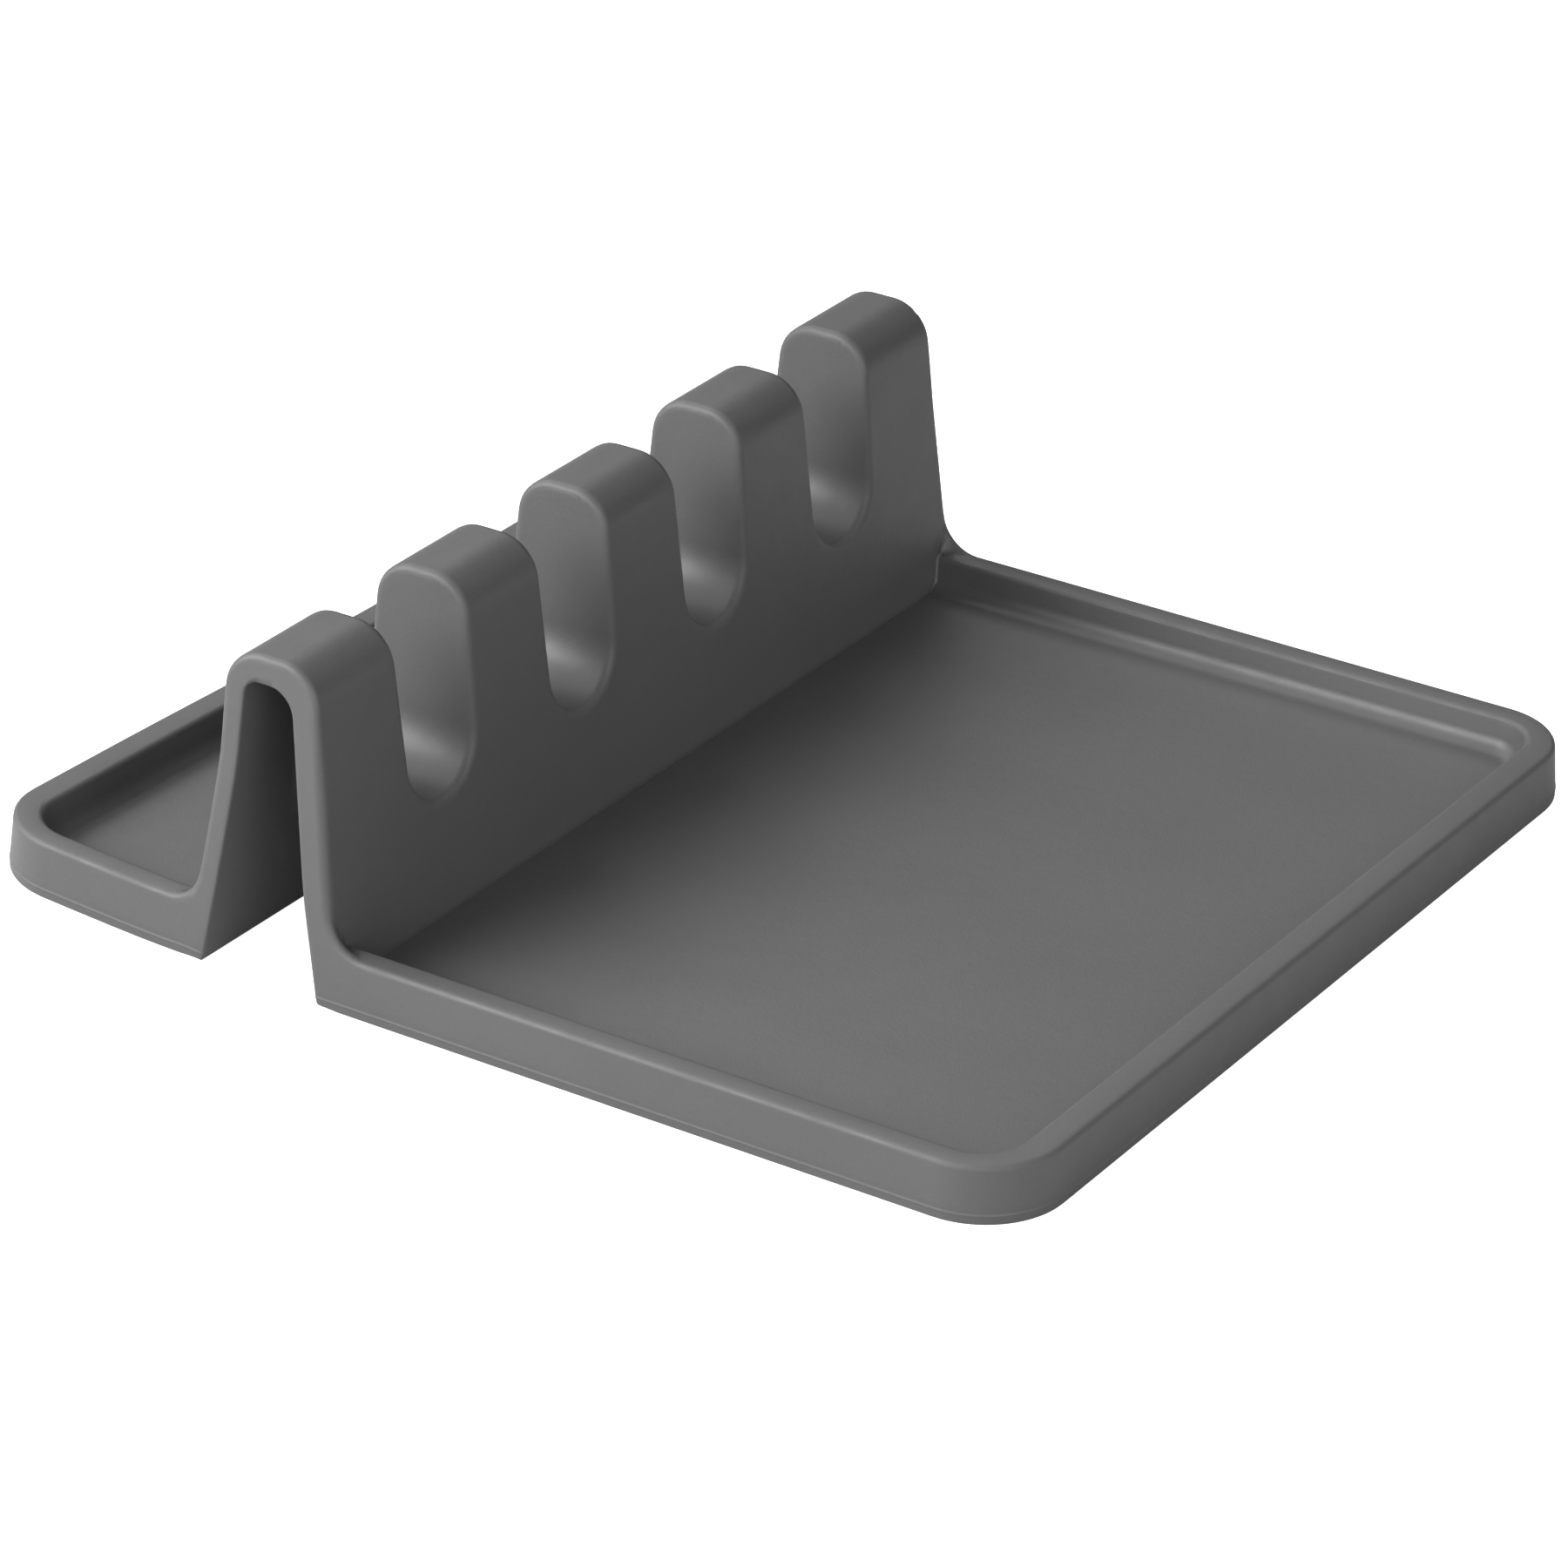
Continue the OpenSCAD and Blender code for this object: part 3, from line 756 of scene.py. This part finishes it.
def mesh_object(name, points, quads, normals=None, marks=None):
    """A mesh object at the origin from arrays of points and quads, with masks as attributes."""
    mesh = bpy.data.meshes.new(name)
    mesh.vertices.add(len(points))
    mesh.vertices.foreach_set("co", points.ravel())
    mesh.loops.add(quads.size)
    mesh.loops.foreach_set("vertex_index", quads.ravel().astype(np.int32))
    mesh.polygons.add(len(quads))
    mesh.polygons.foreach_set("loop_start", np.arange(0, quads.size, quads.shape[1], dtype=np.int32))
    mesh.polygons.foreach_set("use_smooth", np.ones(len(quads), dtype=bool))
    mesh.update(calc_edges=True)
    mesh.validate()
    for mark, values in (marks or {}).items():
        mesh.attributes.new(mark, "FLOAT", "POINT").data.foreach_set("value", values.astype(np.float32))
    if normals is not None:
        mesh.normals_split_custom_set_from_vertices(normals.tolist())
    obj = bpy.data.objects.new(name, mesh)
    bpy.context.scene.collection.objects.link(obj)
    return obj


def new_material(name):
    """A node material with only its output and one Principled shader."""
    mat = bpy.data.materials.new(name)
    mat.use_nodes = True
    tree = mat.node_tree
    tree.nodes.clear()
    out = tree.nodes.new("ShaderNodeOutputMaterial")
    shader = tree.nodes.new("ShaderNodeBsdfPrincipled")
    tree.links.new(shader.outputs["BSDF"], out.inputs["Surface"])
    return mat, tree, shader


class Nodes:
    """Short ways to add and join nodes in one node tree."""

    def __init__(self, tree):
        """Keeps the tree that the nodes go into."""
        self.tree = tree

    def add(self, kind, **settings):
        """A node of this kind with its settings."""
        node = self.tree.nodes.new(kind)
        for name, value in settings.items():
            setattr(node, name, value)
        return node

    def set(self, socket, value):
        """Joins a socket to another node's output, or gives it a value."""
        if isinstance(value, bpy.types.NodeSocket):
            self.tree.links.new(value, socket)
        else:
            socket.default_value = value

    def math(self, operation, *values):
        """A Math node's result."""
        node = self.add("ShaderNodeMath", operation=operation)
        for socket, value in zip(node.inputs, values):
            self.set(socket, value)
        return node.outputs["Value"]

    def spread(self, value, low, high, to_low=0.0, to_high=1.0):
        """A value carried from one range to another and kept inside it."""
        node = self.add("ShaderNodeMapRange", clamp=True)
        for socket, number in zip(node.inputs, (value, low, high, to_low, to_high)):
            self.set(socket, number)
        return node.outputs["Result"]

    def noise(self, place, size, detail=2.0, roughness=0.5):
        """Soft noise from -1 to 1 whose patches are about this size in metres."""
        node = self.add("ShaderNodeTexNoise")
        self.set(node.inputs["Vector"], place)
        self.set(node.inputs["Scale"], 1 / size)
        self.set(node.inputs["Detail"], detail)
        self.set(node.inputs["Roughness"], roughness)
        return self.spread(node.outputs["Fac"], *NOISE_RANGE, -1.0, 1.0)

    def mark(self, name):
        """One of the mesh's masks."""
        return self.add("ShaderNodeAttribute", attribute_name=name).outputs["Fac"]


def dust_specks(nodes, place, cell, radius):
    """Mask of small specks on the faces that look up: where the surface passes near the middle
    of a cell."""
    cells = nodes.add("ShaderNodeTexVoronoi")
    nodes.set(cells.inputs["Vector"], place)
    nodes.set(cells.inputs["Scale"], 1 / cell)
    edge = radius / cell
    speck = nodes.spread(cells.outputs["Distance"], DUST_CORE * edge, edge, 1.0, 0.0)
    normal = nodes.add("ShaderNodeSeparateXYZ")
    nodes.set(normal.inputs["Vector"], nodes.add("ShaderNodeNewGeometry").outputs["Normal"])
    return nodes.math("MULTIPLY", speck, nodes.spread(normal.outputs["Z"], *LOOKS_UP))


def silicone_material(finish):
    """Matte moulded silicone: a grey that varies a little in soft patches and fine grains, paler on
    the rubbed edges with a painted highlight, on the parting line partly as a painted highlight and
    under dust, darker in the hollow fillets as painted shade, with a fine grain from the mould."""
    mat, tree, shader = new_material("silicone_matte_grey")
    nodes = Nodes(tree)
    place = nodes.add("ShaderNodeTexCoord").outputs["Object"]
    patches = nodes.noise(place, PATCH_SIZE, detail=3.0)
    smears = nodes.noise(place, SMEAR_SIZE, detail=3.0)
    ripples = nodes.noise(place, RIPPLE_SIZE)
    grains = nodes.noise(place, GRAIN_SIZE)
    # Rubbed edges with a painted highlight: the edge mask, varied by the smears; it also makes the
    # edges rougher
    worn_and_highlit = nodes.math("MULTIPLY", nodes.mark("edge"), nodes.spread(smears, -1.0, 1.0, *WEAR_AND_HIGHLIGHT_RANGE))
    shade = 1.0
    # Paler edges are rubbed and carry a painted highlight, the paler parting line is partly a painted
    # highlight, and the darker hollow fillets are painted shade
    for value, share in (
        (patches, finish.mottle), (grains, finish.speckle), (worn_and_highlit, finish.wear_and_highlight),
        (nodes.mark("seam"), finish.seam), (nodes.mark("hollow"), -finish.crease_shade),
    ):
        shade = nodes.math("MULTIPLY_ADD", value, share, shade)
    grey = nodes.add("ShaderNodeVectorMath", operation="SCALE")
    nodes.set(grey.inputs["Vector"], finish.colour)
    nodes.set(grey.inputs["Scale"], shade)

    dust = dust_specks(nodes, place, DUST_CELL, DUST_RADIUS)
    dusty = nodes.add("ShaderNodeMix", data_type="RGBA")
    nodes.set(dusty.inputs["Factor"], nodes.math("MULTIPLY", dust, finish.dust))
    nodes.set(dusty.inputs[MIX_A], grey.outputs["Vector"])
    nodes.set(dusty.inputs[MIX_B], DUST_COLOUR)
    nodes.set(shader.inputs["Base Color"], dusty.outputs[MIX_RESULT])

    rough = nodes.math("MULTIPLY_ADD", smears, finish.smear, finish.roughness)
    rough = nodes.math("MULTIPLY_ADD", worn_and_highlit, finish.worn_rough, rough)
    rough = nodes.math("MULTIPLY_ADD", dust, finish.dust_rough, rough)
    nodes.set(shader.inputs["Roughness"], rough)
    nodes.set(shader.inputs["IOR"], SILICONE_IOR)

    bump = nodes.add("ShaderNodeBump")
    nodes.set(bump.inputs["Height"], nodes.math("MULTIPLY_ADD", ripples, RIPPLE_SHARE, grains))
    nodes.set(bump.inputs["Distance"], finish.grain_h)
    nodes.set(shader.inputs["Normal"], bump.outputs["Normal"])
    return mat


def shine(nodes, socket, strengths):
    """Gives an emission one strength for the light that it casts and one for the camera."""
    seen = nodes.add("ShaderNodeLightPath").outputs["Is Camera Ray"]
    nodes.set(socket, nodes.spread(seen, 0.0, 1.0, *strengths))


def floor_material():
    """Plain studio floor, pure white to the camera, that throws the light back as grey does."""
    mat, tree, shader = new_material("studio_floor")
    nodes = Nodes(tree)
    for name, value in (
        ("Base Color", FLOOR_GREY), ("Roughness", 0.9), ("Specular IOR Level", 0.1),
        ("Emission Color", WHITE),
    ):
        nodes.set(shader.inputs[name], value)
    shine(nodes, shader.inputs["Emission Strength"], FLOOR_SHINE)
    return mat


def white_world():
    """A white backdrop that casts no light of its own."""
    world = bpy.data.worlds.new("studio")
    world.use_nodes = True
    backdrop = world.node_tree.nodes["Background"]
    nodes = Nodes(world.node_tree)
    nodes.set(backdrop.inputs["Color"], WHITE)
    shine(nodes, backdrop.inputs["Strength"], BACKDROP_SHINE)
    return world


def add_light(scene, kind, distance, name, azimuth, elevation, width, strength):
    """Adds a light that the object sees at this azimuth, counted from +X, elevation and width,
    all in degrees, and turns it to the object. An area light gets the power that lights the
    object as strongly as a far light of the same width and strength."""
    light = bpy.data.lights.new(name, kind)
    az, el, half = math.radians(azimuth), math.radians(elevation), math.radians(width / 2)
    if kind == "AREA":
        light.shape = "DISK"
        light.size = 2 * distance * math.tan(half)
        light.energy = strength * math.pi * (light.size / 2) ** 2 / math.sin(half) ** 2
    else:
        light.angle = 2 * half
        light.energy = strength
    towards = Vector((math.cos(az) * math.cos(el), math.sin(az) * math.cos(el), math.sin(el)))
    obj = bpy.data.objects.new(light.name, light)
    obj.location = towards * distance
    obj.rotation_mode = "QUATERNION"
    obj.rotation_quaternion = towards.to_track_quat("Z", "Y")
    obj.visible_camera = False
    scene.collection.objects.link(obj)


def add_camera(scene, look):
    """Adds the camera at its azimuth, elevation and distance from the point that it looks at,
    tilted by its roll, and returns it."""
    az, el = look.azimuth, look.elevation
    back = Vector((math.sin(az) * math.cos(el), -math.cos(az) * math.cos(el), math.sin(el)))
    right = Vector((math.cos(az), math.sin(az), 0))
    up = back.cross(right)
    cr, sr = math.cos(look.roll), math.sin(look.roll)
    right, up = right * cr + up * sr, up * cr - right * sr
    data = bpy.data.cameras.new("camera")
    data.lens = look.focal
    data.sensor_width = SENSOR_WIDTH
    data.clip_end = CLIP_END
    camera = bpy.data.objects.new("camera", data)
    turn = Matrix((right, up, back)).transposed().to_4x4()
    camera.matrix_world = Matrix.Translation(Vector(look.aim) + look.distance * back) @ turn
    scene.collection.objects.link(camera)
    return camera


class REST_OT_moulding(bpy.types.Operator):
    """Build the one-piece silicone moulding and its finish"""

    bl_idname = "spoon_rest.moulding"
    bl_label = "Silicone moulding"

    def execute(self, context):
        """Makes the mesh with its material, and says which node it belongs to."""
        rest = context.scene.spoon_rest
        points, normals, quads, marks = Moulding(rest).skin()
        piece = mesh_object("silicone_moulding", points, quads, normals, marks)
        piece.data.materials.append(silicone_material(rest.finish))
        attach(piece, "root")
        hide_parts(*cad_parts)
        return {"FINISHED"}


class REST_OT_studio(bpy.types.Operator):
    """Add the floor, the lights and the camera"""

    bl_idname = "spoon_rest.studio"
    bl_label = "Floor, lights and camera"

    def execute(self, context):
        """Adds them all to the scene, and makes the camera the scene's."""
        scene = context.scene
        look = scene.spoon_rest.studio
        corners = np.array([[-1, -1, 0], [1, -1, 0], [1, 1, 0], [-1, 1, 0]]) * look.floor_half
        floor = mesh_object("studio_floor", corners, np.array([[0, 1, 2, 3]]))
        floor.data.materials.append(floor_material())

        scene.world = white_world()
        scene.view_settings.view_transform = "Standard"
        for kind, lights in (("AREA", SOFTBOXES), ("SUN", FAR_LIGHTS)):
            for values in lights:
                add_light(scene, kind, look.light_distance, *values)
        scene.camera = add_camera(scene, look)
        return {"FINISHED"}


class REST_PT_panel(bpy.types.Panel):
    """Shows the sizes of the spoon rest and its buttons"""

    bl_label = "Spoon rest"
    bl_idname = "REST_PT_panel"
    bl_space_type = "VIEW_3D"
    bl_region_type = "UI"
    bl_category = "Spoon rest"

    def draw(self, context):
        """Shows every size in its group, and a button for each operator."""
        rest = context.scene.spoon_rest
        for group in (rest.trays, rest.ridge, rest.slots, rest.lift, rest.finish, rest.studio):
            box = self.layout.box()
            for name in group.__annotations__:
                box.prop(group, name)
        for op in (REST_OT_moulding, REST_OT_studio):
            self.layout.operator(op.bl_idname)


CLASSES = (
    TraySizes, RidgeSizes, SlotSizes, Lift, Finish, Studio, Rest,
    REST_OT_moulding, REST_OT_studio, REST_PT_panel,
)


def register():
    """Registers the classes and gives the scene its sizes."""
    for cls in CLASSES:
        bpy.utils.register_class(cls)
    bpy.types.Scene.spoon_rest = PointerProperty(type=Rest)


def unregister():
    """Takes back what register does."""
    del bpy.types.Scene.spoon_rest
    for cls in reversed(CLASSES):
        bpy.utils.unregister_class(cls)


def main():
    """Builds the moulding and the studio."""
    register()
    bpy.ops.spoon_rest.moulding()
    bpy.ops.spoon_rest.studio()


if __name__ == "__main__":
    main()
